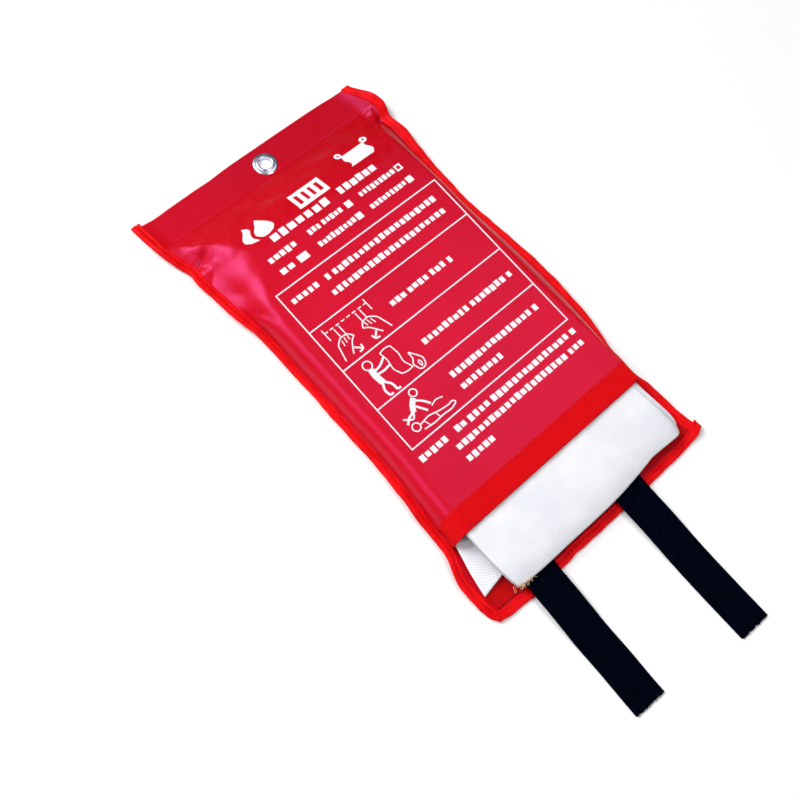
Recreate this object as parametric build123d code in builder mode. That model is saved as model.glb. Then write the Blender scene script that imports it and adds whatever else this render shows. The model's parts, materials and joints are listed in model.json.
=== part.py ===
from build123d import *
import math
import os

# Fire blanket in its soft wall pouch. A square of woven glass cloth is folded into a flat
# pack and slid into a red coated-fabric pouch; two black webbing straps sewn into the pack
# hang out of the mouth, to pull it out. The pouch lies on its back: mouth towards -Y,
# hanging header towards +Y, +Z up. Lengths along the pouch are stations, counted from the
# free end of the closing flap (0) to the top of the header (POUCH_LENGTH).

# ---- driving dimensions (mm) ----
POUCH_WIDTH = 240.0
POUCH_LENGTH = 430.0
FLAP_LENGTH = 65.0  # back panel carried on past the mouth, to close it
HEADER_LENGTH = 30.0  # two plies sewn flat together, for hanging
FABRIC = 0.6
BINDING_TAPE = 0.6
BINDING_WIDTH = 8.0
HOOK_AND_LOOP_WIDTH = 20.0
HOOK_AND_LOOP = 1.2
THREAD = 0.3
INK = 0.1

CLOTH_SIDE = 1500.0  # the blanket spread out is a square of this side
PANELS_ACROSS = 8
PANELS_ALONG = 5
CLOTH_LAYER = 0.435  # one layer of cloth with the air it holds in the pack
FOLD_STAGGER = 6.5  # folds that don't lie exactly over each other widen the pack
PACK_CENTRE_X = 5.0
PACK_STATION = 9.0  # rest position of the pack's outer end, on the flap
SIDE_ROUNDING = 4.0  # the pack's long edges are turns of cloth
LIP_LENGTH = 24.0  # the top layers droop over this last stretch of the pack
LIP_DROP = 9.0
HEM_IN = 5.0  # the hem's stitches are this far in from the edge of the cloth

EYELET_BORE_R = 6.0
EYELET_BARREL_R = 6.8
EYELET_FLANGE_R = 11.0
EYELET_RIM = 1.6  # height of the rolled rim over the fabric
EYELET_STATION = 416.0
EYELET_X = 8.0

WEBBING_WIDTH = 30.0
WEBBING = 1.4
SEWN_LENGTH = 58.0
STRAP_REACH = 136.0  # how far the longer strap lies past the flap's end
SHORT_REACH = 120.0
STRAP_EXIT = 5.0  # height of a strap's upper face over the underside of the pack
BOX_STITCH = (24.0, 20.0)
BOX_STITCH_IN = 18.0  # from the inner end of the sewn webbing to the middle of its box stitch

# ---- stations as Y ----
MIDDLE_STATION = (POUCH_LENGTH - STRAP_REACH) / 2


def at_station(station):
    """Y of a station along the pouch."""
    return station - MIDDLE_STATION


FLAP_END = at_station(0)
MOUTH = at_station(FLAP_LENGTH)
HEADER_SEAM = at_station(POUCH_LENGTH - HEADER_LENGTH)
HEADER_TOP = at_station(POUCH_LENGTH)
SLOPE_LENGTH = 35.0  # the front panel comes down to the header seam over this length
SLOPE_START = HEADER_SEAM - SLOPE_LENGTH

# ---- heights ----
BACK_Z = BINDING_TAPE
BACK_TOP = BACK_Z + FABRIC
SEAM_TOP = BACK_TOP + FABRIC
HOOK_TOP = BACK_TOP + HOOK_AND_LOOP
PACK_Z = HOOK_TOP + 0.2
PACK_THICKNESS = PANELS_ACROSS * PANELS_ALONG * CLOTH_LAYER
PACK_TOP = PACK_Z + PACK_THICKNESS
PANEL_INNER = PACK_TOP + 0.6
PANEL_OUTER = PANEL_INNER + FABRIC

# ---- widths ----
HALF_WIDTH = POUCH_WIDTH / 2
PLY_EDGE = HALF_WIDTH - BINDING_TAPE  # the fabric's raw edge, inside its binding
BINDING_INNER = HALF_WIDTH - BINDING_WIDTH
TUNNEL_FOOT = BINDING_INNER - 1.5
SHOULDER_ROOM = (1.2, 1.6)  # the panel's shoulders stand this far off the pack, left and right
STITCH_IN = 2.0  # rows of stitching run this far in from the edge of a tape
PACK_WIDTH = CLOTH_SIDE / PANELS_ACROSS + FOLD_STAGGER
PACK_LENGTH = CLOTH_SIDE / PANELS_ALONG
PACK_LEFT = PACK_CENTRE_X - PACK_WIDTH / 2
PACK_RIGHT = PACK_CENTRE_X + PACK_WIDTH / 2
PACK_END = at_station(PACK_STATION)

# ---- straps: where each leaves the pack, its free length and its slant ----
HINGE_STANDOFF = 3.0
STRAP_TOP = PACK_Z + STRAP_EXIT
LEFT_STRAP = {"x": -72.0, "reach": SHORT_REACH, "slant": 3.1}
RIGHT_STRAP = {"x": 32.0, "reach": STRAP_REACH, "slant": 1.4}

os.makedirs("parts", exist_ok=True)


def save(builder, name):
    """Label a finished piece and write its STEP file."""
    builder.part.label = name
    export_step(builder.part, f"parts/{name}.step")


def block(x_span, y_span, z_span, mode=Mode.ADD):
    """A box between two corners, joined to the builder that is open."""
    middle = [sum(span) / 2 for span in (x_span, y_span, z_span)]
    sides = [span[1] - span[0] for span in (x_span, y_span, z_span)]
    with Locations(tuple(middle)):
        Box(*sides, mode=mode)


def thread_loop(x_span, y_span, z):
    """A closed rectangle of thread lying on height z."""
    with BuildSketch(Plane.XY.offset(z)) as outline:
        with Locations((sum(x_span) / 2, sum(y_span) / 2)):
            width, length = x_span[1] - x_span[0], y_span[1] - y_span[0]
            Rectangle(width, length)
            Rectangle(width - 2 * THREAD, length - 2 * THREAD, mode=Mode.SUBTRACT)
    extrude(outline.sketch, amount=THREAD)


# ======================= front panel and what is sewn on it =======================


def tunnel_section(grow):
    """XZ outline of the tunnel that holds the pack, grown outwards by grow."""
    with BuildSketch(Plane.XZ) as section:
        with BuildLine():
            Polyline(
                (-TUNNEL_FOOT, -BACK_TOP),
                (-TUNNEL_FOOT, BACK_TOP),
                (PACK_LEFT - SHOULDER_ROOM[0], PANEL_INNER),
                (PACK_RIGHT + SHOULDER_ROOM[1], PANEL_INNER),
                (TUNNEL_FOOT, BACK_TOP),
                (TUNNEL_FOOT, -BACK_TOP),
                close=True,
            )
        make_face()
        if grow:
            offset(amount=grow, kind=Kind.INTERSECTION)
        with Locations((0, BACK_TOP + PANEL_OUTER / 2 + HOOK_AND_LOOP)):
            Rectangle(POUCH_WIDTH, PANEL_OUTER + 2 * HOOK_AND_LOOP, mode=Mode.INTERSECT)
    return section.sketch


def slope_plane(drop):
    """The plane of the front panel's slope to the header seam, lowered by drop."""
    along = Vector(0, HEADER_SEAM - SLOPE_START, SEAM_TOP - PANEL_OUTER).normalized()
    across = Vector(1, 0, 0)
    face = Plane(origin=(0, HEADER_SEAM, SEAM_TOP), x_dir=across, z_dir=across.cross(along))
    return face.offset(-drop)


def panel_block(grow, drop):
    """Solid under the front panel: the tunnel, cut down to the header seam."""
    with BuildPart() as under:
        with BuildSketch(Plane.XZ.offset(-HEADER_SEAM)):
            add(tunnel_section(grow))
        extrude(amount=HEADER_SEAM - MOUTH)
        split(bisect_by=slope_plane(drop), keep=Keep.BOTTOM)
    return under.part


tunnel_space = panel_block(0, FABRIC)

with BuildPart() as whole_panel:
    add(panel_block(FABRIC, 0))
    for side in (-1, 1):
        x_span = sorted((side * TUNNEL_FOOT, side * PLY_EDGE))
        block(x_span, (MOUTH, HEADER_SEAM), (BACK_TOP, SEAM_TOP))
    add(tunnel_space, mode=Mode.SUBTRACT)

# The level length over the pack, and the slope down to the header seam.
for name, kept in (("front_panel", Keep.TOP), ("front_panel_slope", Keep.BOTTOM)):
    with BuildPart() as panel:
        add(whole_panel.part)
        split(bisect_by=Plane.XZ.offset(-SLOPE_START), keep=kept)
    save(panel, name)

# The loop tape goes down both shoulders and stops over the bindings.
TAPE_END_CLEARANCE = 1.6
tape_depth = PANEL_OUTER - SEAM_TOP - BINDING_TAPE - TAPE_END_CLEARANCE
with BuildPart() as loop_tape:
    with BuildSketch(Plane.XZ.offset(-MOUTH - HOOK_AND_LOOP_WIDTH)):
        add(tunnel_section(FABRIC + HOOK_AND_LOOP))
        add(tunnel_section(FABRIC), mode=Mode.SUBTRACT)
        with Locations((0, PANEL_OUTER)):
            Rectangle(POUCH_WIDTH, 2 * tape_depth, mode=Mode.INTERSECT)
    extrude(amount=HOOK_AND_LOOP_WIDTH)
save(loop_tape, "loop_tape")

LOOP_TOP = PANEL_OUTER + HOOK_AND_LOOP
with BuildPart() as loop_tape_stitching:
    x_span = (PACK_LEFT + STITCH_IN, PACK_RIGHT - STITCH_IN)
    y_span = (MOUTH + STITCH_IN, MOUTH + HOOK_AND_LOOP_WIDTH - STITCH_IN)
    thread_loop(x_span, y_span, LOOP_TOP)
save(loop_tape_stitching, "loop_tape_stitching")

# Printed instructions: a thin frame of four rows in ink.
PRINT_X = (-80.5, 98.0)
PRINT_Y = (at_station(141), at_station(307))
PRINT_ROWS = 4
PRINT_LINE = 1.0
with BuildPart() as instruction_print:
    row_height = (PRINT_Y[1] - PRINT_Y[0]) / PRINT_ROWS
    with BuildSketch(Plane.XY.offset(PANEL_OUTER)):
        for row in range(PRINT_ROWS):
            with Locations((sum(PRINT_X) / 2, PRINT_Y[0] + (row + 0.5) * row_height)):
                width = PRINT_X[1] - PRINT_X[0]
                Rectangle(width + PRINT_LINE, row_height + PRINT_LINE)
        for row in range(PRINT_ROWS):
            with Locations((sum(PRINT_X) / 2, PRINT_Y[0] + (row + 0.5) * row_height)):
                Rectangle(width - PRINT_LINE, row_height - PRINT_LINE, mode=Mode.SUBTRACT)
    extrude(amount=INK)
save(instruction_print, "instruction_print")

# ======================= back panel, header and eyelet =======================

# The back lies flat on the ground and steps up into its bindings at both sides.
SAG_EDGE = TUNNEL_FOOT - 2.0
with BuildPart() as back_panel:
    with BuildSketch(Plane.XZ.offset(-HEADER_SEAM)):
        with BuildLine():
            half_under = [(0, 0), (SAG_EDGE, 0), (BINDING_INNER, BACK_Z), (PLY_EDGE, BACK_Z)]
            half_over = [(x, z + FABRIC) for x, z in reversed(half_under)]
            Polyline(*half_under, *half_over, close=True)
        make_face()
        mirror(about=Plane.YZ)
    extrude(amount=HEADER_SEAM - MOUTH)
save(back_panel, "back_panel")

EYELET_Y = at_station(EYELET_STATION)
with BuildPart() as header_fold:
    block((-PLY_EDGE, PLY_EDGE), (HEADER_SEAM, HEADER_TOP), (BACK_Z, SEAM_TOP))
    with BuildSketch(Plane.XY.offset(BACK_Z)):
        with Locations((EYELET_X, EYELET_Y)):
            Circle(EYELET_BARREL_R)
    extrude(amount=SEAM_TOP - BACK_Z, mode=Mode.SUBTRACT)
save(header_fold, "header_fold")

with BuildPart() as header_stitching:
    row_y = (HEADER_SEAM + 1.0, HEADER_SEAM + 1.0 + THREAD)
    block((-BINDING_INNER, BINDING_INNER), row_y, (SEAM_TOP, SEAM_TOP + THREAD))
save(header_stitching, "header_stitching")

WASHER_Z = BACK_Z / 2
EYELET_TOP = SEAM_TOP + EYELET_RIM
RIM_CREST = (8.8, 0.25)  # a point on the rolled rim: radius, and depth under its top
CURL = 1.6  # width of the barrel's foot, rolled out over the washer
with BuildPart() as eyelet:
    with BuildSketch(Plane.XZ.offset(-EYELET_Y)):
        with BuildLine():
            barrel_foot = Line((EYELET_X + EYELET_BORE_R, 0), (EYELET_X + EYELET_BORE_R, EYELET_TOP))
            rim = ThreePointArc(
                barrel_foot @ 1,
                (EYELET_X + RIM_CREST[0], EYELET_TOP - RIM_CREST[1]),
                (EYELET_X + EYELET_FLANGE_R, SEAM_TOP),
            )
            Polyline(
                rim @ 1,
                (EYELET_X + EYELET_BARREL_R, SEAM_TOP),
                (EYELET_X + EYELET_BARREL_R, WASHER_Z),
                (EYELET_X + EYELET_BARREL_R + CURL, WASHER_Z),
                (EYELET_X + EYELET_BARREL_R + CURL, 0),
                barrel_foot @ 0,
            )
        make_face()
    revolve(axis=Axis((EYELET_X, EYELET_Y, 0), (0, 0, 1)))
save(eyelet, "eyelet")

with BuildPart() as eyelet_washer:
    with BuildSketch(Plane.XY.offset(WASHER_Z)):
        with Locations((EYELET_X, EYELET_Y)):
            Circle(EYELET_FLANGE_R)
            Circle(EYELET_BARREL_R, mode=Mode.SUBTRACT)
    extrude(amount=BACK_Z - WASHER_Z)
save(eyelet_washer, "eyelet_washer")

# ======================= bindings and their stitching =======================


def side_binding(side, y_span, ply_top):
    """Tape folded round one side edge of the plies between BACK_Z and ply_top."""
    outer = sorted((side * BINDING_INNER, side * HALF_WIDTH))
    plies = sorted((side * BINDING_INNER, side * PLY_EDGE))
    block(outer, y_span, (0, ply_top + BINDING_TAPE))
    block(plies, y_span, (BACK_Z, ply_top), mode=Mode.SUBTRACT)


for name, side in (("left", -1), ("right", 1)):
    with BuildPart() as pouch_binding:
        side_binding(side, (MOUTH, HEADER_TOP), SEAM_TOP)
    save(pouch_binding, f"{name}_side_binding")

    with BuildPart() as flap_binding:
        side_binding(side, (FLAP_END + BINDING_WIDTH, MOUTH), BACK_TOP)
    save(flap_binding, f"flap_{name}_binding")

    with BuildPart() as side_stitching:
        row_x = side * (BINDING_INNER + STITCH_IN)
        x_span = (row_x - THREAD / 2, row_x + THREAD / 2)
        z = SEAM_TOP + BINDING_TAPE
        block(x_span, (MOUTH + 1, HEADER_TOP - 1), (z, z + THREAD))
    save(side_stitching, f"{name}_side_stitching")

with BuildPart() as flap_end_binding:
    y_span = (FLAP_END, FLAP_END + BINDING_WIDTH)
    block((-HALF_WIDTH, HALF_WIDTH), y_span, (0, BACK_TOP + BINDING_TAPE))
    ply_y = (FLAP_END + BINDING_TAPE, y_span[1])
    block((-PLY_EDGE, PLY_EDGE), ply_y, (BACK_Z, BACK_TOP), mode=Mode.SUBTRACT)
save(flap_end_binding, "flap_end_binding")

with BuildPart() as flap_stitching:
    z = BACK_TOP + BINDING_TAPE
    row = FLAP_END + BINDING_WIDTH - STITCH_IN
    edge = BINDING_INNER + STITCH_IN
    block((-edge, edge), (row, row + THREAD), (z, z + THREAD))
    for side in (-1, 1):
        x_span = sorted((side * edge, side * (edge - THREAD)))
        block(x_span, (row, MOUTH - 1), (z, z + THREAD))
save(flap_stitching, "flap_stitching")

# ======================= closing flap and its hook tape =======================

with BuildPart() as mouth_flap:
    block((-PLY_EDGE, PLY_EDGE), (FLAP_END + BINDING_TAPE, MOUTH), (BACK_Z, BACK_TOP))
save(mouth_flap, "mouth_flap")

HOOK_START = FLAP_END + BINDING_WIDTH + 1.0
HOOK_Y = (HOOK_START, HOOK_START + HOOK_AND_LOOP_WIDTH)
HOOK_X = (-BINDING_INNER + 2.0, BINDING_INNER - 2.0)
HOOK_ROWS = (HOOK_Y[0] + STITCH_IN, HOOK_Y[1] - STITCH_IN)
STITCH_GROOVE = 2 * THREAD
with BuildPart() as hook_tape:
    block(HOOK_X, HOOK_Y, (BACK_TOP, HOOK_TOP))
    for y in HOOK_ROWS:
        groove = (y - THREAD, y + THREAD)
        block(HOOK_X, groove, (HOOK_TOP - STITCH_GROOVE, HOOK_TOP), mode=Mode.SUBTRACT)
save(hook_tape, "hook_tape")

with BuildPart() as hook_tape_stitching:
    z = HOOK_TOP - STITCH_GROOVE
    for y in HOOK_ROWS:
        row_span = (y - THREAD / 2, y + THREAD / 2)
        block((HOOK_X[0] + 1, HOOK_X[1] - 1), row_span, (z, z + THREAD))
save(hook_tape_stitching, "hook_tape_stitching")

# ======================= the folded blanket and its pull straps =======================


def strap_plane(strap):
    """Plane of a strap's side outline: X runs out along the strap from its hinge, Y is up."""
    slant = math.radians(strap["slant"])
    hinge = (strap["x"], PACK_END - HINGE_STANDOFF, 0)
    out = Vector(-math.sin(slant), -math.cos(slant), 0)
    return Plane(origin=hinge, x_dir=out, z_dir=out.cross(Vector(0, 0, 1)))


def free_length(strap):
    """Length of a strap past its hinge, so that its leading corner is at its reach."""
    slant = math.radians(strap["slant"])
    straight = strap["reach"] + PACK_STATION - HINGE_STANDOFF
    return (straight - WEBBING_WIDTH / 2 * math.sin(slant)) / math.cos(slant)


def sewn_span(strap, top):
    """Solid round a strap's sewn end, up to height top, from its hinge into the pack."""
    with BuildPart() as sewn:
        with BuildSketch(strap_plane(strap)):
            with Locations((-SEWN_LENGTH / 2, (STRAP_TOP - WEBBING + top) / 2)):
                Rectangle(SEWN_LENGTH, top - STRAP_TOP + WEBBING)
        extrude(amount=WEBBING_WIDTH / 2, both=True)
    return sewn.part


# Outline of a lower fold that has slipped out to the left of the others, as offsets from the
# pack's left end corner.
SLIPPED_FOLD = [(10, 6), (-15, 13), (-14, 90), (10, 140)]
SLIPPED_THICKNESS = 1.3

# The sloping face of the drooping lip, with X across the pack and Y up the slope.
lip_foot = Vector(0, PACK_END, PACK_TOP - LIP_DROP)
lip_slope = Vector(0, LIP_LENGTH, LIP_DROP).normalized()
across = Vector(1, 0, 0)
lip_plane = Plane(origin=lip_foot, x_dir=across, z_dir=across.cross(lip_slope))

with BuildPart() as folded_blanket:
    y_span = (PACK_END, PACK_END + PACK_LENGTH)
    block((PACK_LEFT, PACK_RIGHT), y_span, (PACK_Z, PACK_TOP))
    fillet(folded_blanket.edges().filter_by(Axis.Y), radius=SIDE_ROUNDING)
    split(bisect_by=lip_plane, keep=Keep.BOTTOM)
    with BuildSketch(Plane.XY.offset(PACK_Z)):
        with BuildLine():
            Polyline(*[(PACK_LEFT + x, PACK_END + y) for x, y in SLIPPED_FOLD], close=True)
        make_face()
    extrude(amount=SLIPPED_THICKNESS)
    for strap in (LEFT_STRAP, RIGHT_STRAP):
        add(sewn_span(strap, STRAP_TOP + THREAD), mode=Mode.SUBTRACT)
save(folded_blanket, "folded_blanket")

with BuildPart() as hem_stitching:
    with BuildSketch(lip_plane):
        with Locations(((PACK_LEFT + PACK_RIGHT) / 2, HEM_IN)):
            Rectangle(PACK_WIDTH - 2 * SIDE_ROUNDING - 2 * HEM_IN, THREAD)
    extrude(amount=THREAD)
save(hem_stitching, "hem_stitching")

for name, strap in (("left", LEFT_STRAP), ("right", RIGHT_STRAP)):
    with BuildPart() as sewn_end:
        add(sewn_span(strap, STRAP_TOP))
    save(sewn_end, f"{name}_strap_sewn_end")

# Box stitch that holds each sewn end, on top of its webbing.
with BuildPart() as strap_stitching:
    for strap in (LEFT_STRAP, RIGHT_STRAP):
        lying = strap_plane(strap)
        sewn_plane = Plane(
            origin=lying.origin + Vector(0, 0, STRAP_TOP) - lying.x_dir * (SEWN_LENGTH - BOX_STITCH_IN),
            x_dir=lying.x_dir,
            z_dir=(0, 0, 1),
        )
        with BuildSketch(sewn_plane):
            Rectangle(*BOX_STITCH)
            Rectangle(BOX_STITCH[0] - 2 * THREAD, BOX_STITCH[1] - 2 * THREAD, mode=Mode.SUBTRACT)
        extrude(amount=THREAD)
save(strap_stitching, "strap_stitching")

# Side outline of a free strap, as (distance from the hinge, height of the underside): off
# the pack, over the edge of the flap in a stiff low arch, then flat on the ground.
STRAP_RUN = [(0, STRAP_TOP - WEBBING), (8, 5.0), (56, 2.6), (69, 0.0)]

for name, strap in (("left", LEFT_STRAP), ("right", RIGHT_STRAP)):
    with BuildPart() as pull_strap:
        with BuildSketch(strap_plane(strap)):
            with BuildLine():
                under = STRAP_RUN + [(free_length(strap), 0.0)]
                over = [(run, height + WEBBING) for run, height in reversed(under)]
                Polyline(*under, *over, close=True)
            make_face()
        extrude(amount=WEBBING_WIDTH / 2, both=True)
    save(pull_strap, f"{name}_pull_strap")
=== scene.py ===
import json
import math

import bpy
import numpy as np
from mathutils import Matrix, Vector


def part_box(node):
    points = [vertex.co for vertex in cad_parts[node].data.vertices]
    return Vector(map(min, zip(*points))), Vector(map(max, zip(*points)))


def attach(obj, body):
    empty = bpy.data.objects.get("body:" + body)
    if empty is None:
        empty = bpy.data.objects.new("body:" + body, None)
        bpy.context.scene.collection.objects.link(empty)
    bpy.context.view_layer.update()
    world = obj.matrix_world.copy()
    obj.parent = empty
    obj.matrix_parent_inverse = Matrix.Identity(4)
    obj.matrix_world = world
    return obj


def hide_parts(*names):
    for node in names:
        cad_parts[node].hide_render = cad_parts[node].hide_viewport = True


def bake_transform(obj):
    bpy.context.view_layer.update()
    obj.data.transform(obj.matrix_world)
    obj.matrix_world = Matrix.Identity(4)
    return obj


# Fire blanket in its red wall pouch. Inside this script a place is (x, station, height) in
# millimetres, as in the CAD: stations run from the free end of the closing flap (0) to the
# top of the header (430). to_frame() turns such places into frame metres.

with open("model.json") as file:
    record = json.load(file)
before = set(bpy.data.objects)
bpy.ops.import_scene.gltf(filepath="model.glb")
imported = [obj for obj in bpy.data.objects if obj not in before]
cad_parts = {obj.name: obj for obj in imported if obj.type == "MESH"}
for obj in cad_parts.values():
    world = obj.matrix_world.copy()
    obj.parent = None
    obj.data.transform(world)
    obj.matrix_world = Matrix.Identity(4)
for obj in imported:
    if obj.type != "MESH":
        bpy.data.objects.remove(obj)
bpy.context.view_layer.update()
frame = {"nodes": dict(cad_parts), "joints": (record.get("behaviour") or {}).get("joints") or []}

MM = 0.001
FLAP_END_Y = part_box("flap_end_binding")[0].y


def station(y):
    """The station in millimetres of a frame y."""
    return (y - FLAP_END_Y) / MM


HEADER_TOP = round(station(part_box("header_fold")[1].y), 3)
MOUTH = round(station(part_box("front_panel")[0].y), 3)
HEADER_SEAM = round(station(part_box("header_fold")[0].y), 3)
PANEL_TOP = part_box("front_panel")[1].z / MM
PACK_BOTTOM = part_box("folded_blanket")[0].z / MM
PACK_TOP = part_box("folded_blanket")[1].z / MM - 0.5
EYELET_BOX = [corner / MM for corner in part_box("eyelet")]
EYELET_CENTRE = (EYELET_BOX[0] + EYELET_BOX[1]) / 2
EYELET = (EYELET_CENTRE.x, EYELET_CENTRE.y - FLAP_END_Y / MM)
EYELET_TOP = EYELET_BOX[1].z
EYELET_HOLE = 7.6  # radius of the hole punched through the header's cloth
FABRIC = 0.6
BINDING_WIDTH = 8.0
HOOK_AND_LOOP_WIDTH = 20.0

rng = np.random.default_rng(7)


# ======================= helpers: places, curves, noise =======================


def to_frame(points):
    """Places in millimetres as points in frame metres."""
    out = np.array(points, float) * MM
    out[..., 1] += FLAP_END_Y
    return out


def places(x, s, z):
    """Places from three coordinates, each an array or one number."""
    return np.stack(np.broadcast_arrays(x, s, z), axis=-1)


def smooth(t):
    """Smooth step from 0 to 1."""
    t = np.clip(t, 0.0, 1.0)
    return t * t * (3 - 2 * t)


def through(knots):
    """A smooth curve through a few (position, value) knots, flat beyond its ends."""
    at, value = (np.array(k, float) for k in zip(*sorted(knots)))
    chord = np.diff(value) / np.diff(at)
    slope = np.concatenate([[0.0], (chord[1:] + chord[:-1]) / 2, [0.0]])

    def curve(x):
        x = np.clip(x, at[0], at[-1])
        i = np.clip(np.searchsorted(at, x) - 1, 0, len(at) - 2)
        span = at[i + 1] - at[i]
        t = (x - at[i]) / span
        return (
            (2 * t**3 - 3 * t**2 + 1) * value[i]
            + (t**3 - 2 * t**2 + t) * span * slope[i]
            + (3 * t**2 - 2 * t**3) * value[i + 1]
            + (t**3 - t**2) * span * slope[i + 1]
        )

    return curve


def ripples(seed, count, shortest, longest, stretch=(1.0, 1.0)):
    """Smooth seeded noise of (x, station): a sum of waves, about -1 to 1."""
    waves = np.random.default_rng(seed)
    length = np.exp(waves.uniform(math.log(shortest), math.log(longest), count))
    angle = waves.uniform(0, math.pi, count)
    phase = waves.uniform(0, 2 * math.pi, count)
    weight = length / longest
    weight /= np.sqrt((weight**2).sum() / 2)

    def noise(x, s):
        x, s = np.asarray(x, float), np.asarray(s, float)
        total = 0.0
        for wave, turn, start, share in zip(length, angle, phase, weight):
            along = math.cos(turn) * x / stretch[0] + math.sin(turn) * s / stretch[1]
            total = total + share * np.sin(2 * math.pi * along / wave + start)
        return total * 0.6

    return noise


def stroke(x, s, path, width, height):
    """A ridge of a given height (a crease if negative) along a path, tapered at both ends."""
    path = np.array(path, float)
    reach = np.concatenate([[0], np.cumsum(np.linalg.norm(np.diff(path, axis=0), axis=1))])
    best = np.full(np.shape(x), 1e9)
    share = np.zeros(np.shape(x))
    for a, b, start, end in zip(path[:-1], path[1:], reach[:-1], reach[1:]):
        d = b - a
        t = np.clip(((x - a[0]) * d[0] + (s - a[1]) * d[1]) / (d @ d), 0, 1)
        gap = np.hypot(x - a[0] - t * d[0], s - a[1] - t * d[1])
        nearer = gap < best
        best = np.where(nearer, gap, best)
        share = np.where(nearer, (start + t * (end - start)) / reach[-1], share)
    taper = np.sin(math.pi * np.clip(0.12 + 0.88 * share, 0, 1)) ** 0.7
    return height * taper * np.exp(-((best / width) ** 2))


def hump(x, s, centre, size, height):
    """A smooth rise round a centre, with its own size in x and along the pouch."""
    return height * np.exp(-(((x - centre[0]) / size[0]) ** 2) - ((s - centre[1]) / size[1]) ** 2)


# ======================= helpers: meshes =======================


def grid_faces(rows, cols):
    """Quads of a grid of points, numbered row by row."""
    r, c = np.meshgrid(np.arange(rows - 1), np.arange(cols - 1), indexing="ij")
    a = (r * cols + c).ravel()
    return np.stack([a, a + 1, a + cols + 1, a + cols], axis=1)


def vertex_normals(points, faces):
    a, b, c, d = (points[faces[:, k]] for k in range(4))
    face_normal = np.cross(c - a, d - b)
    out = np.zeros_like(points)
    for k in range(4):
        np.add.at(out, faces[:, k], face_normal)
    return out / np.maximum(np.linalg.norm(out, axis=1, keepdims=True), 1e-12)


def rim_edges(faces):
    """Directed edges that only one face has."""
    edges = np.concatenate([faces[:, [k, (k + 1) % 4]] for k in range(4)])
    key = np.sort(edges, axis=1)
    _, inverse, count = np.unique(key, axis=0, return_inverse=True, return_counts=True)
    return edges[count[inverse.ravel()] == 1]


def thicken(points, faces, uv, thickness):
    """A closed skin of the given thickness round a surface of quads."""
    normal = vertex_normals(points, faces)
    n = len(points)
    both = np.concatenate([points + normal * thickness / 2, points - normal * thickness / 2])
    rim = rim_edges(faces)
    walls = np.stack([rim[:, 1], rim[:, 0], rim[:, 0] + n, rim[:, 1] + n], axis=1)
    return both, np.concatenate([faces, faces[:, ::-1] + n, walls]), np.concatenate([uv, uv])


def new_piece(name, points, faces, material, uv, smooth_shaded=True):
    """A mesh piece from places in millimetres; uv is in millimetres of cloth."""
    mesh = bpy.data.meshes.new(name)
    used = np.unique(np.concatenate([np.ravel(f) for f in faces]))
    renumber = np.full(len(points), -1)
    renumber[used] = np.arange(len(used))
    points = np.asarray(points)[used]
    faces = [renumber[np.asarray(f)].tolist() for f in faces]
    mesh.from_pydata(to_frame(points).tolist(), [], faces)
    mesh.polygons.foreach_set("use_smooth", np.full(len(mesh.polygons), smooth_shaded))
    layer = mesh.uv_layers.new(name="cloth")
    loops = np.zeros(len(mesh.loops), int)
    mesh.loops.foreach_get("vertex_index", loops)
    layer.data.foreach_set("uv", (np.asarray(uv)[used][loops] * MM).astype(np.float32).ravel())
    mesh.validate()
    mesh.update()
    mesh.materials.append(material)
    piece = bpy.data.objects.new(name, mesh)
    bpy.context.scene.collection.objects.link(piece)
    return piece


def cloth_grid(points):
    """Places, quads and cloth coordinates of a grid of points (rows, columns, 3)."""
    rows, cols = points.shape[:2]
    along = np.linalg.norm(np.diff(points, axis=0), axis=2).mean(axis=1)
    across = np.linalg.norm(np.diff(points, axis=1), axis=2).mean(axis=0)
    v = np.concatenate([[0], np.cumsum(along)])
    u = np.concatenate([[0], np.cumsum(across)])
    uv = np.stack(np.meshgrid(u, v), axis=2).reshape(-1, 2)
    return points.reshape(-1, 3), grid_faces(rows, cols), uv


def sheet_piece(name, grid, thickness, material):
    """A piece of cloth from a grid of points on its middle surface."""
    points, faces, uv = thicken(*cloth_grid(grid), thickness)
    return new_piece(name, points, faces, material, uv)


class Collector:
    """Gathers many small closed solids into one piece."""

    def __init__(self):
        self.points, self.faces, self.count = [], [], 0

    def add(self, points, faces):
        self.points.append(np.asarray(points, float))
        self.faces += [[i + self.count for i in f] for f in faces]
        self.count += len(points)

    def piece(self, name, material, smooth_shaded=True):
        points = np.concatenate(self.points)
        return new_piece(name, points, self.faces, material, points[:, :2], smooth_shaded)


def tube(path, radius, sides=6):
    """Places and faces of a closed round tube along a path, tapered to its ends."""
    path = np.array(path, float)
    forward = np.gradient(path, axis=0)
    forward /= np.linalg.norm(forward, axis=1, keepdims=True)
    side = np.cross(forward, [0, 0, 1.0])
    side /= np.maximum(np.linalg.norm(side, axis=1, keepdims=True), 1e-9)
    up = np.cross(side, forward)
    radius = np.broadcast_to(radius, len(path))
    turn = np.linspace(0, 2 * math.pi, sides, endpoint=False)
    rings = (
        path[:, None]
        + side[:, None] * (radius[:, None] * np.cos(turn))[..., None]
        + up[:, None] * (radius[:, None] * np.sin(turn))[..., None]
    )
    points = rings.reshape(-1, 3)
    faces = []
    for r in range(len(path) - 1):
        for k in range(sides):
            a, b = r * sides + k, r * sides + (k + 1) % sides
            faces.append([a, b, b + sides, a + sides])
    last = (len(path) - 1) * sides
    faces.append(list(range(sides))[::-1])
    faces.append([last + k for k in range(sides)])
    return points, faces


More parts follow.
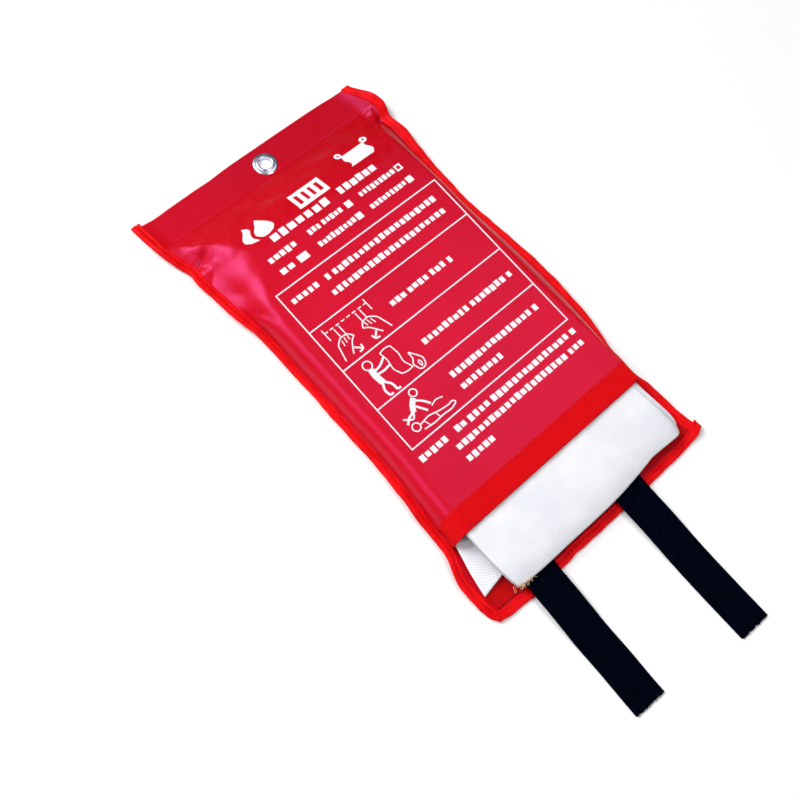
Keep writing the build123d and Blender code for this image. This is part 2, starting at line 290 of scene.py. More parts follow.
def stitch_row(collector, line, pitch=3.0, gap=0.7, radius=0.24, sink=0.1):
    """Stitches along a line of places: short rounded threads that dip at both ends."""
    line = np.array(line, float)
    reach = np.concatenate([[0], np.cumsum(np.linalg.norm(np.diff(line, axis=0), axis=1))])
    for start in np.arange(0, reach[-1] - pitch, pitch):
        t = np.linspace(start, start + pitch - gap, 6)
        path = np.stack([np.interp(t, reach, line[:, k]) for k in range(3)], axis=1)
        bow = np.sin(np.linspace(0, math.pi, 6))
        path[:, 2] += radius * 0.7 * bow - sink
        collector.add(*tube(path, radius * (0.45 + 0.55 * bow)))


# ======================= the pouch: outline and heights =======================

left_edge = through([
    (0, -121.5), (5, -124.5), (11, -126), (20, -126.3), (36, -126.8), (43.5, -125.6), (50, -123.4),
    (56, -120.8), (62, -118.2), (69, -116.4), (77, -115.8), (85, -115.5), (92, -114.6), (108, -112.8),
    (120, -111), (137, -109), (155, -108), (190, -107.4), (225, -106.2), (250, -106), (284, -105.2),
    (297, -105.8), (308, -108), (322, -110), (335, -110.8), (346, -111.4), (357, -112.8), (364, -112.6),
    (371, -111.2), (382, -114.4), (395, -117.6), (408, -119), (420, -120.3), (432, -120.6),
])
right_edge = through([
    (0, 121), (5, 120), (16, 117.2), (31, 114.6), (43, 114), (52, 114.6), (59, 115.6), (69, 113.6),
    (91, 113.8), (105, 115), (120, 118), (142, 121.2), (164, 122.8), (197, 123.2), (233, 122.2),
    (264, 120.6), (285, 120.2), (301, 121), (325, 122.4), (344, 124), (356, 125.8), (365, 126.8),
    (374, 126.6), (383, 126), (390, 127.2), (399, 128.2), (411, 126.2), (423, 121), (430, 118.6),
])
header_line = through([
    (-121, 431.6), (-111, 432.2), (-99, 431.4), (-84, 431.8), (-54, 432), (-40, 431.8), (-23, 432.8),
    (9, 433.4), (40, 433.8), (73, 433.8), (90, 433.4), (105, 432.4), (118, 430.2), (127, 429),
])
flap_line = through([
    (-122, 1), (-105, -2.0), (-86, -2.2), (-54, -1.4), (19, -2.0), (49, -1.4), (84, -1.4), (108, 0.0),
    (116, 1.2), (121, 3.2),
])


left_lift = through([
    (-5, 0.9), (20, 1.5), (42, 2.4), (66, 2.4), (90, 2.6), (110, 3.0), (150, 2.0), (200, 2.2),
    (250, 1.8), (290, 2.8), (312, 4.6), (330, 4.4), (345, 3.0), (362, 4.2), (374, 1.6), (386, 3.2),
    (400, 3.8), (416, 1.8), (435, 1.0),
])
right_lift = through([
    (-5, 2.2), (8, 2.6), (24, 4.4), (44, 5.6), (60, 3.4), (74, 2.6), (95, 2.8), (125, 4.2), (165, 5.6),
    (235, 5.4), (268, 4.0), (300, 3.2), (330, 3.6), (350, 4.6), (366, 6.2), (378, 5.4), (386, 4.6),
    (396, 9.0), (404, 10.6), (414, 9.0), (424, 5.5), (434, 3.0),
])


def lift(x, s):
    """How far the flat edges of the pouch are bent up off the ground."""
    x, s = np.asarray(x, float), np.asarray(s, float)
    at_left = smooth((left_edge(s) + 20 - x) / 19) ** 1.2
    at_right = smooth((x - right_edge(s) + 22) / 21) ** 1.2
    return left_lift(s) * at_left + right_lift(s) * at_right + hump(x, s, (-30, 434), (46, 12), 1.2)


cloth_waves = ripples(11, 26, 26, 120, stretch=(1.0, 1.3))
fine_waves = ripples(12, 30, 7, 24)
left_shoulder = through([
    (60, -92), (82, -91.5), (111, -89.5), (144, -87.5), (200, -86), (250, -85), (290, -83), (312, -77),
    (332, -69), (365, -58), (401, -50),
])
right_shoulder = through([
    (60, 99.5), (105, 99.5), (200, 99.0), (280, 100.5), (320, 102), (350, 100.5), (385, 93), (401, 86),
])
left_foot_line = through([
    (60, -108.5), (78, -108), (96, -106.2), (115, -104.5), (131, -102.8), (160, -100.6), (200, -99.8),
    (250, -99), (292, -98.5), (312, -100.5), (330, -102.6), (365, -104.5), (401, -111),
])
right_foot_line = through([
    (60, 107), (91, 107.6), (120, 110.8), (142, 113), (164, 114.4), (200, 114.8), (233, 114),
    (264, 112.6), (301, 113), (330, 114.5), (350, 116), (385, 117), (401, 118),
])
header_slope = through([
    (330, PANEL_TOP), (345, 20.9), (358, 19.0), (371, 15.2), (383, 10.6), (393, 6.0), (399, 3.2),
    (402, 2.2),
])

LEFT_CREASES = [
    ([(-107, 371.5), (-98, 374.5), (-87, 379)], 2.0, -3.2),
    ([(-104, 372), (-95, 369), (-84, 370)], 2.4, -0.8),
    ([(-107, 350), (-99, 357), (-90, 364)], 3.6, -1.0),
    ([(-98, 338), (-93, 331), (-88, 327)], 4.0, -0.7),
    ([(-98, 313), (-93, 302), (-90, 288)], 3.4, -1.0),
    ([(-101, 388), (-94, 384), (-86, 385)], 4.0, 1.5),
    ([(-103, 364), (-96, 363), (-88, 366)], 3.0, 1.0),
    ([(-96, 346), (-84, 342), (-74, 338)], 8.0, 0.8),
    ([(-96, 322), (-88, 314), (-84, 302)], 5.4, 0.7),
]
RIGHT_CREASES = [
    ([(119, 388), (110, 386), (97, 384)], 2.6, -3.0),
    ([(117, 378), (112, 366), (108, 350)], 3.0, 1.6),
    ([(112, 396), (104, 396), (90, 398)], 2.4, -1.2),
    ([(110, 300), (108, 270), (108, 240)], 2.4, -0.8),
]
TOP_CREASES = [
    ([(-50, 378), (-10, 386), (40, 384)], 5.0, -0.7),
    ([(-40, 398), (-20, 386), (6, 374)], 4.0, -0.8),
    ([(60, 380), (84, 370), (98, 352)], 5.0, -0.8),
    ([(20, 396), (34, 388), (60, 384)], 3.6, 0.6),
    ([(-96, 96), (-60, 90), (-20, 89)], 2.6, -0.35),
    ([(30, 92), (70, 93), (104, 100)], 2.8, -0.3),
    ([(-86, 110), (-84, 160), (-85, 230)], 3.0, 0.35),
    ([(-20, 120), (10, 180), (20, 260)], 9.0, 0.25),
]


SEWN_LEVEL = 1.5  # height of the front cloth where it is sewn down onto the back


def shoulder(t, steep):
    """Rise of the cloth from its foot (0) to the level top of the pack (1): upright where
    steep is 1, a slack slope where it is 0."""
    t = np.clip(t, 0, 1)
    return steep * np.sqrt(1 - (1 - t) ** 2) + (1 - steep) * np.sin(t * math.pi / 2) ** 1.05


def softest(a, b, reach):
    """The lower of two heights, with the ridge between them rounded over."""
    return -reach * np.logaddexp(-a / reach, -b / reach)


def front_height(x, s):
    """Height of the middle of the front cloth, between the bindings."""
    x, s = np.asarray(x, float), np.asarray(s, float)
    foot = SEWN_LEVEL + lift(x, s)
    left_foot = np.maximum(left_foot_line(s), left_edge(s) + BINDING_WIDTH - 1.0)
    right_foot = np.minimum(right_foot_line(s), right_edge(s) - BINDING_WIDTH + 1.0)
    steep = smooth((330 - s) / 36)
    top = PANEL_TOP - FABRIC / 2
    left_share = (x - left_foot) / (left_shoulder(s) - left_foot)
    right_share = (right_foot - x) / (right_foot - right_shoulder(s))
    from_left = foot + (top - SEWN_LEVEL) * shoulder(left_share, steep)
    from_right = foot + (top - SEWN_LEVEL) * shoulder(right_share, 0.6 * steep)
    header = header_slope(s) + 1.2 + lift(x, s) * smooth((s - 370) / 30)
    h = softest(softest(from_left, from_right, 0.5) + 0.4, header, 0.7) + 0.1
    h = np.minimum(h, top)
    inside = smooth((x - left_foot) / 10) * smooth((right_foot - x) / 10) * smooth((s - 60) / 20)
    flat_print = 1 - 0.75 * smooth((s - 90) / 30) * smooth((340 - s) / 30) * smooth((x + 84) / 6)
    h = h + inside * flat_print * (0.34 * cloth_waves(x, s) - 0.25)
    h = h + inside * smooth((s - 330) / 30) * 0.5 * fine_waves(x, s) * 0.5
    for path, width, height in LEFT_CREASES + RIGHT_CREASES + TOP_CREASES:
        h = h + stroke(x, s, path, width, height)
    on_header = smooth((s - HEADER_SEAM) / 3)
    seam = -0.5 * np.exp(-(((s - HEADER_SEAM - 2) / 1.6) ** 2)) * (np.abs(x) < 112)
    near_eyelet = np.exp(-(((x - EYELET[0]) ** 2 + (s - EYELET[1]) ** 2) / 16.0**2) ** 2)
    flat = 1.55 + lift(x, s) + 0.25 * (1 + cloth_waves(x, s)) * (1 - near_eyelet) + seam
    h = h * (1 - on_header) + flat * on_header
    return np.maximum(h, SEWN_LEVEL)


def back_height(x, s):
    """Height of the middle of the back cloth and of the flap."""
    x, s = np.asarray(x, float), np.asarray(s, float)
    to_edge = np.minimum(x - left_edge(s), right_edge(s) - x)
    rise = np.maximum(smooth((14 - to_edge) / 8), smooth((s - 390) / 8)) * 0.6
    ripple = 0.3 * (1 + cloth_waves(x * 1.3 + 40, s * 1.3)) * smooth((MOUTH - s) / 20)
    return 0.32 + rise + lift(x, s) + np.maximum(ripple, 0)


# ======================= materials =======================


class Finish:
    """A node material under construction, on the cloth's own coordinates in metres."""

    def __init__(self, name, roughness, **inputs):
        self.material = bpy.data.materials.new(name)
        self.material.use_nodes = True
        self.tree = self.material.node_tree
        self.shader = self.tree.nodes["Principled BSDF"]
        self.shader.inputs["Roughness"].default_value = roughness
        for key, value in inputs.items():
            self.shader.inputs[key.replace("_", " ")].default_value = value
        self.cloth = self.add("ShaderNodeUVMap").outputs[0]
        self.place = self.add("ShaderNodeTexCoord").outputs["Object"]
        self.bump = None

    def add(self, kind, inputs=(), **settings):
        node = self.tree.nodes.new(kind)
        for key, value in settings.items():
            setattr(node, key, value)
        for key, value in dict(inputs).items():
            if isinstance(value, bpy.types.NodeSocket):
                self.tree.links.new(value, node.inputs[key])
            else:
                node.inputs[key].default_value = value
        return node

    def math(self, operation, a, b=0.0):
        return self.add("ShaderNodeMath", {0: a, 1: b}, operation=operation).outputs[0]

    def weave(self, pitch_x, pitch_y=None):
        """Crossing threads, 0 to 1."""
        parts = self.add("ShaderNodeSeparateXYZ", {0: self.cloth}).outputs
        waves = [
            self.math("SINE", self.math("MULTIPLY", parts[k], 2 * math.pi / pitch))
            for k, pitch in ((0, pitch_x), (1, pitch_y or pitch_x))
        ]
        return self.math("MULTIPLY_ADD", self.math("MULTIPLY", *waves), 0.5)

    def noise(self, size, detail=3.0, roughness=0.55):
        """Noise with features of about this size in metres."""
        inputs = {"Vector": self.place, "Scale": 1 / size, "Detail": detail, "Roughness": roughness}
        return self.add("ShaderNodeTexNoise", inputs).outputs["Fac"]

    def blend_color(self, factor, color_a, color_b, low=0.35, high=0.65):
        """Colour from one to the other as the factor goes from low to high."""
        ramp = self.add("ShaderNodeValToRGB", {0: factor})
        ramp.color_ramp.elements[0].position, ramp.color_ramp.elements[1].position = low, high
        ramp.color_ramp.elements[0].color = (*color_a, 1)
        ramp.color_ramp.elements[1].color = (*color_b, 1)
        return ramp.outputs[0]

    def color(self, socket):
        self.tree.links.new(socket, self.shader.inputs["Base Color"])

    def rough(self, socket, low, high):
        ranged = self.add("ShaderNodeMapRange", {0: socket, 3: low, 4: high}).outputs[0]
        self.tree.links.new(ranged, self.shader.inputs["Roughness"])

    def fade(self, direction, start, end):
        """0 to 1 along a direction in frame metres."""
        along = self.add("ShaderNodeVectorMath", {0: self.place, 1: direction}, operation="DOT_PRODUCT")
        span = {0: along.outputs["Value"], 1: start, 2: end}
        return self.add("ShaderNodeMapRange", span, interpolation_type="SMOOTHSTEP").outputs[0]

    def mix(self, factor, color_a, color_b):
        """From the colour of a socket to a plain colour."""
        inputs = {0: factor, 6: color_a, 7: (*color_b, 1)}
        return self.add("ShaderNodeMix", inputs, data_type="RGBA").outputs[2]

    def relief(self, height, distance, strength=1.0):
        """Adds bump of a height socket, in metres of relief."""
        inputs = {"Height": height, "Distance": distance, "Strength": strength}
        if self.bump is not None:
            inputs["Normal"] = self.bump
        self.bump = self.add("ShaderNodeBump", inputs).outputs[0]
        self.tree.links.new(self.bump, self.shader.inputs["Normal"])


def mottled(name, roughness, size, detail, dark, light, relief=(), low=0.35, high=0.65, grain=0.55, **inputs):
    """A finish that varies between two colours in patches of a size; relief holds the noises'
    (size, detail, distance, strength)."""
    finish = Finish(name, roughness, **inputs)
    finish.color(finish.blend_color(finish.noise(size, detail, grain), dark, light, low, high))
    for bump_size, bump_detail, distance, strength, *bump_grain in relief:
        finish.relief(finish.noise(bump_size, bump_detail, *bump_grain), distance, strength)
    return finish


# The third colour is painted shade: a darker crimson that stands in for less light on the header's right.
CRIMSON, DEEP_CRIMSON, PAINTED_SHADE_CRIMSON = (0.60, 0.0020, 0.0062), (0.55, 0.0015, 0.0040), (0.46, 0.0010, 0.0030)
coat = Finish("coated_fabric", 0.37, Specular_IOR_Level=0.56, Specular_Tint=(1.0, 0.22, 0.78, 1))
coat_color = coat.blend_color(coat.noise(0.05, 4), DEEP_CRIMSON, CRIMSON)
# Painted shade: towards the right of the header the cloth's colour fades to the darker crimson, in place of
# light falling off there.
coat.color(coat.mix(coat.fade((0.55, 0.83, 0.0), 0.12, 0.26), coat_color, PAINTED_SHADE_CRIMSON))
coat.rough(coat.noise(0.012, 4), 0.335, 0.425)
coat.relief(coat.weave(0.0009), 0.00004, 0.5)
coat.relief(coat.noise(0.006, 3), 0.00018, 0.5)

tape = Finish("binding_tape", 0.45, Specular_IOR_Level=0.25, Specular_Tint=(1.0, 0.2, 0.3, 1))
tape.color(tape.blend_color(tape.noise(0.012, 3), (0.64, 0.002, 0.003), (0.82, 0.005, 0.006)))
tape.relief(tape.weave(0.0008), 0.00005, 0.6)
tape.relief(tape.noise(0.003, 3), 0.0002, 0.6)

red_thread = mottled(
    "red_thread", 0.6, 0.0012, 3, (0.40, 0.001, 0.008), (0.72, 0.004, 0.02), [(0.0004, 2, 0.00008, 1)],
    Specular_IOR_Level=0.15
)
loop = mottled(
    "loop_pile", 0.9, 0.0011, 5, (0.54, 0.001, 0.003), (0.88, 0.004, 0.007), [(0.0008, 4, 0.0006, 1, 0.7)],
    0.3, 0.7, 0.75, Specular_IOR_Level=0.08, Sheen_Weight=0.1, Sheen_Roughness=0.5,
    Sheen_Tint=(1.0, 0.12, 0.1, 1)
)
hook = mottled(
    "hook_pile", 0.7, 0.001, 4, (0.36, 0.0008, 0.002), (0.66, 0.002, 0.004), [(0.0008, 4, 0.0005, 1, 0.7)],
    grain=0.7, Specular_IOR_Level=0.1
)

chrome = mottled(
    "plated_metal", 0.16, 0.010, 2, (0.58, 0.62, 0.82), (0.80, 0.83, 0.96), [(0.0030, 2, 0.000003, 1)],
    0.4, 0.6, Metallic=1.0
)
chrome.rough(chrome.noise(0.0030, 3), 0.26, 0.34)

ink = mottled("white_ink", 0.5, 0.0018, 4, (0.74, 0.66, 0.78), (0.86, 0.83, 0.90), low=0.25, high=0.5)
ink.relief(ink.weave(0.0009), 0.00003, 0.5)

glass = mottled(
    "glass_cloth", 0.62, 0.03, 3, (0.77, 0.78, 0.84), (0.85, 0.855, 0.88), Sheen_Weight=0.25,
    Sheen_Roughness=0.4
)
glass.relief(glass.weave(0.0016), 0.00016, 0.7)
glass.relief(glass.noise(0.004, 3), 0.0002, 0.4)

fold_glass = Finish("glass_cloth_coarse", 0.65, Sheen_Weight=0.2)
fold_weave = fold_glass.weave(0.0024)
fold_glass.color(fold_glass.blend_color(fold_weave, (0.72, 0.73, 0.80), (0.87, 0.875, 0.91), 0.2, 0.7))
fold_glass.relief(fold_weave, 0.00024, 0.6)

raw_yarn = mottled(
    "raw_yarn", 0.6, 0.002, 3, (0.55, 0.34, 0.10), (0.88, 0.78, 0.52), [(0.0003, 2, 0.00005, 1)]
)
white_thread = mottled(
    "white_thread", 0.6, 0.001, 3, (0.66, 0.67, 0.74), (0.86, 0.87, 0.9), [(0.0004, 2, 0.00006, 1)]
)
black_thread = mottled(
    "black_thread", 0.6, 0.001, 3, (0.001, 0.0016, 0.004), (0.004, 0.005, 0.01),
    [(0.0004, 2, 0.00006, 1)], Specular_IOR_Level=0.06
)
webbing = mottled(
    "black_webbing", 0.9, 0.004, 4, (0.0005, 0.0012, 0.0040), (0.0012, 0.0026, 0.0074),
    Specular_IOR_Level=0.0
)
webbing.relief(webbing.weave(0.0011, 0.0018), 0.00012, 0.7)

# ======================= the pouch cloth =======================

PLY_INSET = 0.9  # the raw edges lie this far inside the outer edge of the bindings


def stations(*spans):
    """Stations in runs of (start, end, spacing), without repeats."""
    runs = [
        np.linspace(a, b, max(1, round(abs(b - a) / step)), endpoint=False) for a, b, step in spans
    ]
    return np.concatenate([*runs, [spans[-1][1]]])


def columns():
    """Shares of the width, closer together towards both sides."""
    t = np.linspace(-1, 1, 161)
    return (t + 0.45 * np.sin(math.pi * t) / math.pi + 1) / 2


FOLD_START = HEADER_TOP - 0.8  # the cloth turns over from front to back within this
front_s = stations((MOUTH, 300, 2.5), (300, 404, 1.6), (404, FOLD_START, 1.2))
back_s = stations((FOLD_START, 404, 1.2), (404, MOUTH, 5.0), (MOUTH, 1.2, 1.6))
across = columns()


def row_x(s):
    """x of the cloth's columns at a station."""
    left, right = left_edge(s) + PLY_INSET, right_edge(s) - PLY_INSET
    return left + (right - left) * across


def header_shift(x, s, more=0.0):
    return (header_line(x) - HEADER_TOP + more) * smooth((s - 396) / 34)


def flap_shift(x, s):
    return flap_line(x) * smooth((24 - s) / 24)


def follow_ends(x, s):
    """Stations moved so that the last rows lie along the header line and the flap line."""
    return s + header_shift(x, s) + flap_shift(x, s)


def cloth_row(s, height):
    x = row_x(s)
    return places(x, follow_ends(x, s), height(x, s))


rows = [cloth_row(s, front_height) for s in front_s]
x = row_x(HEADER_TOP)
over = follow_ends(x, HEADER_TOP - 0.25)
rows.append(places(x, over, 1.22 + lift(x, HEADER_TOP)))
rows += [cloth_row(s, back_height) for s in back_s]
pouch_points, pouch_faces, pouch_uv = cloth_grid(np.array(rows))

# the punched hole for the eyelet, through both plies of the header
middle = pouch_points[pouch_faces].mean(axis=1)
from_eyelet = np.hypot(middle[:, 0] - EYELET[0], middle[:, 1] - EYELET[1])
pouch_faces = pouch_faces[from_eyelet > EYELET_HOLE]
for i in np.unique(rim_edges(pouch_faces)):
    out = pouch_points[i, :2] - EYELET
    if np.linalg.norm(out) < 2 * EYELET_HOLE:
        pouch_points[i, :2] = EYELET + out / np.linalg.norm(out) * EYELET_HOLE
points, faces, uv = thicken(pouch_points, pouch_faces, pouch_uv, FABRIC)
pouch_cloth = new_piece("pouch_cloth", points, faces, coat.material, uv)

# ======================= bindings =======================

BINDING_THICK = 0.5
# Section of a folded tape: (distance in from the outer edge, height) from the lower leaf's
# inner edge round the outer edge to the upper leaf's inner edge.
BINDING_SECTION = through(list(enumerate([8.2, 5.0, 1.4, 0.25, 0.3, 1.3, 2.8, 4.2, 5.5, 6.6, 7.8, 8.4])))
BINDING_HEIGHT = through(list(enumerate([0.3, 0.28, 0.3, 0.8, 1.8, 2.65, 2.95, 2.75, 2.2, 2.6, 2.65, 2.15])))
SECTION_STEPS = np.linspace(0, 11, 34)
UPPER_LEAF = smooth((SECTION_STEPS - 3.5) / 2)


def binding_grid(edge_x, edge_s, inward, seed, thinner, raise_by=0.0):
    """Rows of a folded tape along an outer edge; inward is the direction into the cloth."""
    wobble = ripples(seed, 14, 9, 46)
    puff = ripples(seed + 1, 14, 6, 24)
    rows = []
    for x, s, (ix, js), thin in zip(edge_x, edge_s, inward, thinner):
        run = s if abs(ix) > abs(js) else x
        d = BINDING_SECTION(SECTION_STEPS) + 0.35 * wobble(run, 0.0)
        z = BINDING_HEIGHT(SECTION_STEPS) - 0.6 * thin * UPPER_LEAF
        z = z + UPPER_LEAF * (0.28 * puff(run, d * 2.0)) * np.clip(z - 1.6, 0, 1) + raise_by * UPPER_LEAF
        px, ps = x + ix * d, s + js * d
        rows.append(places(px, ps, np.maximum(z, 0.28) + lift(px, ps)))
    return np.array(rows)


side_s = stations((432.0, 300, 1.6), (300, 90, 2.4), (90, 0.4, 1.6))
single_ply = smooth((MOUTH - side_s) / 5 + 0.5)
bindings = {}
for side, name, edge, seed, past_header in ((1, "left", left_edge, 21, 1.2), (-1, "right", right_edge, 31, 0)):
    grid_x = edge(side_s) + 0.3 * ripples(seed + 5, 10, 8, 40)(side_s, 0.0)
    grid_s = side_s + header_shift(grid_x, side_s, past_header) + flap_shift(grid_x, side_s)
    inward = np.stack([np.full_like(side_s, side), np.zeros_like(side_s)], axis=1)
    grid = binding_grid(grid_x, grid_s, inward, seed, single_ply)
    bindings[name] = sheet_piece(f"{name}_binding_tape", grid, BINDING_THICK, tape.material)

end_x = np.linspace(left_edge(0.0) + 0.2, right_edge(0.0) - 0.4, 150)
end_s = flap_line(end_x) + 0.25 * ripples(44, 10, 10, 40)(end_x, 0.0)
end_inward = np.stack([np.zeros_like(end_x), np.ones_like(end_x)], axis=1)
end_grid = binding_grid(end_x, end_s, end_inward, 41, np.full_like(end_x, 0.8), 0.55)
end_binding = sheet_piece("flap_end_tape", end_grid, BINDING_THICK, tape.material)

# ======================= stitching of the bindings and header =======================

STITCH_IN = 5.6  # the stitches lie in the groove, this far in from the outer edge


def side_stitches(threads, edge, side, span, thin):
    s = np.arange(*span, 1.0)
    x = edge(s) + side * STITCH_IN
    z = 2.52 - 0.6 * thin + lift(x, s)
    stitch_row(threads, places(x, follow_ends(x, s), z))


pouch_stitches = {}
flap_threads = Collector()
for side, edge, sign in (("left", left_edge, 1), ("right", right_edge, -1)):
    threads = Collector()
    side_stitches(threads, edge, sign, (MOUTH + 1, 429), 0.0)
    pouch_stitches[side] = threads.piece(f"{side}_side_stitches", red_thread.material)
    side_stitches(flap_threads, edge, sign, (9, MOUTH - 1), 1.0)
end_row = np.linspace(left_edge(4.0) + 7, right_edge(4.0) - 7, 240)
end_row_s = flap_line(end_row) + STITCH_IN
stitch_row(flap_threads, places(end_row, end_row_s, 2.62 + lift(end_row, end_row_s)))
flap_stitches = flap_threads.piece("flap_stitches", red_thread.material)

header_threads = Collector()
seam_x = np.linspace(-110, 112, 260)
seam_s = HEADER_SEAM + 2 + 0.5 * np.sin(seam_x / 30)
seam_z = front_height(seam_x, seam_s) + FABRIC / 2
stitch_row(header_threads, places(seam_x, seam_s, seam_z + 0.1), radius=0.2)
header_stitches = header_threads.piece("header_stitches", red_thread.material)

# ======================= hook and loop tapes =======================

LOOP_THICK, HOOK_THICK = 0.9, 0.7

loop_rows = []
for s in stations((MOUTH + 0.4, MOUTH + HOOK_AND_LOOP_WIDTH, 0.62)):
    x = np.linspace(left_edge(s) + BINDING_WIDTH, right_edge(s) - BINDING_WIDTH + 0.5, 330)
    edge_bow = 0.35 * fine_waves(x, 0.0) * np.abs(s - MOUTH - 10) / 10
    z = front_height(x, s) + FABRIC / 2 + LOOP_THICK / 2
    z = z + rng.normal(0, 0.085, len(x)) + 0.1 * ripples(52, 24, 2.2, 7)(x, s)
    loop_rows.append(places(x, s + edge_bow, z))
loop_strip = sheet_piece("loop_strip", np.array(loop_rows), LOOP_THICK, loop.material)


FIBRES, FIBRE_LENGTH, FIBRE_RADIUS, FIBRE_CURL = 2600, 0.55, 0.06, 1.3

# short curved fibres standing on the loop tape, lying over in random directions
fibres = Collector()
draw = np.random.default_rng(61)
for _ in range(FIBRES):
    x, s = draw.uniform(-100, 104), draw.uniform(MOUTH + 0.8, MOUTH + 19.4)
    turn, tall = draw.uniform(0, 2 * math.pi), FIBRE_LENGTH * draw.uniform(0.6, 1.2)
    ground = float(front_height(x, s)) + FABRIC / 2 + LOOP_THICK - 0.15
    t = np.linspace(0, 1, 4)
    lean = FIBRE_CURL * tall * t**1.6
    path = places(x + lean * math.cos(turn), s + lean * math.sin(turn), ground + tall * t)
    fibres.add(*tube(path, FIBRE_RADIUS * (1 - 0.5 * t), sides=3))
loop_fuzz = fibres.piece("loop_fuzz", loop.material)


def tape_stitches(name, rows, height, top, count):
    """Rows of stitches on a tape whose top lies this far above the middle of the cloth."""
    threads = Collector()
    for s in rows:
        x = np.linspace(left_edge(s) + BINDING_WIDTH + 2, right_edge(s) - BINDING_WIDTH - 2, count)
        line = places(x, s, height(x, s) + top)
        stitch_row(threads, line, pitch=2.8, radius=0.18)
    return threads.piece(name, red_thread.material)


loop_stitches = tape_stitches(
    "loop_strip_stitches", (MOUTH + 2.2, MOUTH + 18.2), front_height, FABRIC / 2 + LOOP_THICK + 0.05, 300
)

HOOK_STATIONS = (8.0, 28.0)
hook_rows = []
for s in stations((*HOOK_STATIONS, 1.0)):
    x = np.linspace(left_edge(s) + BINDING_WIDTH + 0.5, right_edge(s) - BINDING_WIDTH - 0.5, 200)
    z = back_height(x, s) + FABRIC / 2 + HOOK_THICK / 2
    hook_rows.append(places(x, s, z + rng.normal(0, 0.03, len(x))))
hook_strip = sheet_piece("hook_strip", np.array(hook_rows), HOOK_THICK, hook.material)


hook_fuzz = Collector()
for s in np.arange(HOOK_STATIONS[0] + 0.9, HOOK_STATIONS[1] - 0.6, 1.7):
    for x in np.arange(left_edge(s) + 10, right_edge(s) - 10, 2.1):
        x0 = x + rng.uniform(-0.3, 0.3)
        z0 = float(back_height(x, s)) + FABRIC / 2 + HOOK_THICK - 0.05
        turn = np.linspace(0, 2.4, 5)
        hook_s = s + 0.35 * (1 - np.cos(turn))
        bend = places(np.full(5, x0), hook_s, z0 + 0.62 * np.sin(turn) ** 0.9)
        hook_fuzz.add(*tube(bend, 0.1, sides=3))
hook_teeth = hook_fuzz.piece("hook_teeth", hook.material)

hook_stitches = tape_stitches(
    "hook_strip_stitches",
    (HOOK_STATIONS[0] + 2, HOOK_STATIONS[1] - 2),
    back_height,
    FABRIC / 2 + HOOK_THICK + 0.08,
    260,
)

# ======================= eyelet =======================


def turned(name, profile, centre, material, steps=96):
    """A ring turned from a closed profile of (radius, height) places."""
    profile = np.array(profile, float)
    turn = np.linspace(0, 2 * math.pi, steps, endpoint=False)
    points = places(
        centre[0] + np.outer(np.cos(turn), profile[:, 0]),
        centre[1] + np.outer(np.sin(turn), profile[:, 0]),
        profile[:, 1],
    ).reshape(-1, 3)
    n = len(profile)
    faces = [
        [i * n + k, ((i + 1) % steps) * n + k, ((i + 1) % steps) * n + (k + 1) % n, i * n + (k + 1) % n]
        for i in range(steps)
        for k in range(n)
    ]
    return new_piece(name, points, faces, material, uv=points[:, :2])


BORE = 6.0
eyelet_profile = [
    (BORE, 0.25), (BORE, 1.6), (BORE + 0.02, EYELET_TOP - 0.75), (BORE + 0.22, EYELET_TOP - 0.25),
    (BORE + 0.7, EYELET_TOP), (BORE + 1.3, EYELET_TOP - 0.12), (BORE + 1.75, EYELET_TOP - 0.42),
    (BORE + 2.0, EYELET_TOP - 0.62), (BORE + 2.3, EYELET_TOP - 0.58), (BORE + 3.0, EYELET_TOP - 0.55),
    (BORE + 3.8, EYELET_TOP - 0.78), (BORE + 4.5, EYELET_TOP - 1.15), (BORE + 4.95, EYELET_TOP - 1.5),
    (BORE + 5.0, EYELET_TOP - 1.66), (BORE + 4.8, EYELET_TOP - 1.72), (BORE + 1.0, EYELET_TOP - 1.3),
    (BORE + 0.8, 1.6), (BORE + 0.8, 0.5), (BORE + 2.4, 0.4), (BORE + 2.4, 0.12), (BORE + 1.0, 0.08),
]
eyelet_ring = turned("eyelet_ring", eyelet_profile, EYELET, chrome.material)
washer_profile = [
    (6.95, 0.3), (7.6, 0.22), (9.6, 0.26), (10.7, 0.42), (11.0, 0.6), (10.6, 0.68), (8.6, 0.6), (6.95, 0.62),
]
washer_ring = turned("eyelet_back_ring", washer_profile, EYELET, chrome.material, steps=72)

# ======================= the folded blanket =======================

PANELS_ACROSS, PANELS_ALONG = 8, 5
LAYER = (PACK_TOP - PACK_BOTTOM) / (PANELS_ACROSS * PANELS_ALONG)
STACK = PANELS_ACROSS * LAYER
CLOTH = 0.24
FOLD_LEFT, FOLD_RIGHT = -89.0, 100.5
FAR_END = 306.0
LIP, RECESS = 8.0, 24.0  # the top stack reaches past the four stacks under it
lip_line = through([
    (-105, 19), (-101, 15.5), (-98, 12.2), (-92, 9.4), (-78, 8.0), (-40, 7.6), (17, 7.6), (40, 9.4),
    (56, 11.2), (66, 12.4), (76, 11.9), (88, 11.2), (97, 11.4), (101, 13.6), (103, 18),
])
sag = through([
    (2, 10.4), (8, 8.2), (11, 6.4), (15, 4.4), (20, 2.7), (28, 1.3), (38, 0.5), (55, 0.1), (66, 0),
])
spread = through([
    (8, 8.5), (14, 10.5), (35, 12.8), (60, 12.6), (82, 10.5), (110, 7.0), (144, 4.4), (190, 3.0),
    (250, 1.4), (306, 0),
])
cloth_folds = ripples(71, 18, 24, 90)


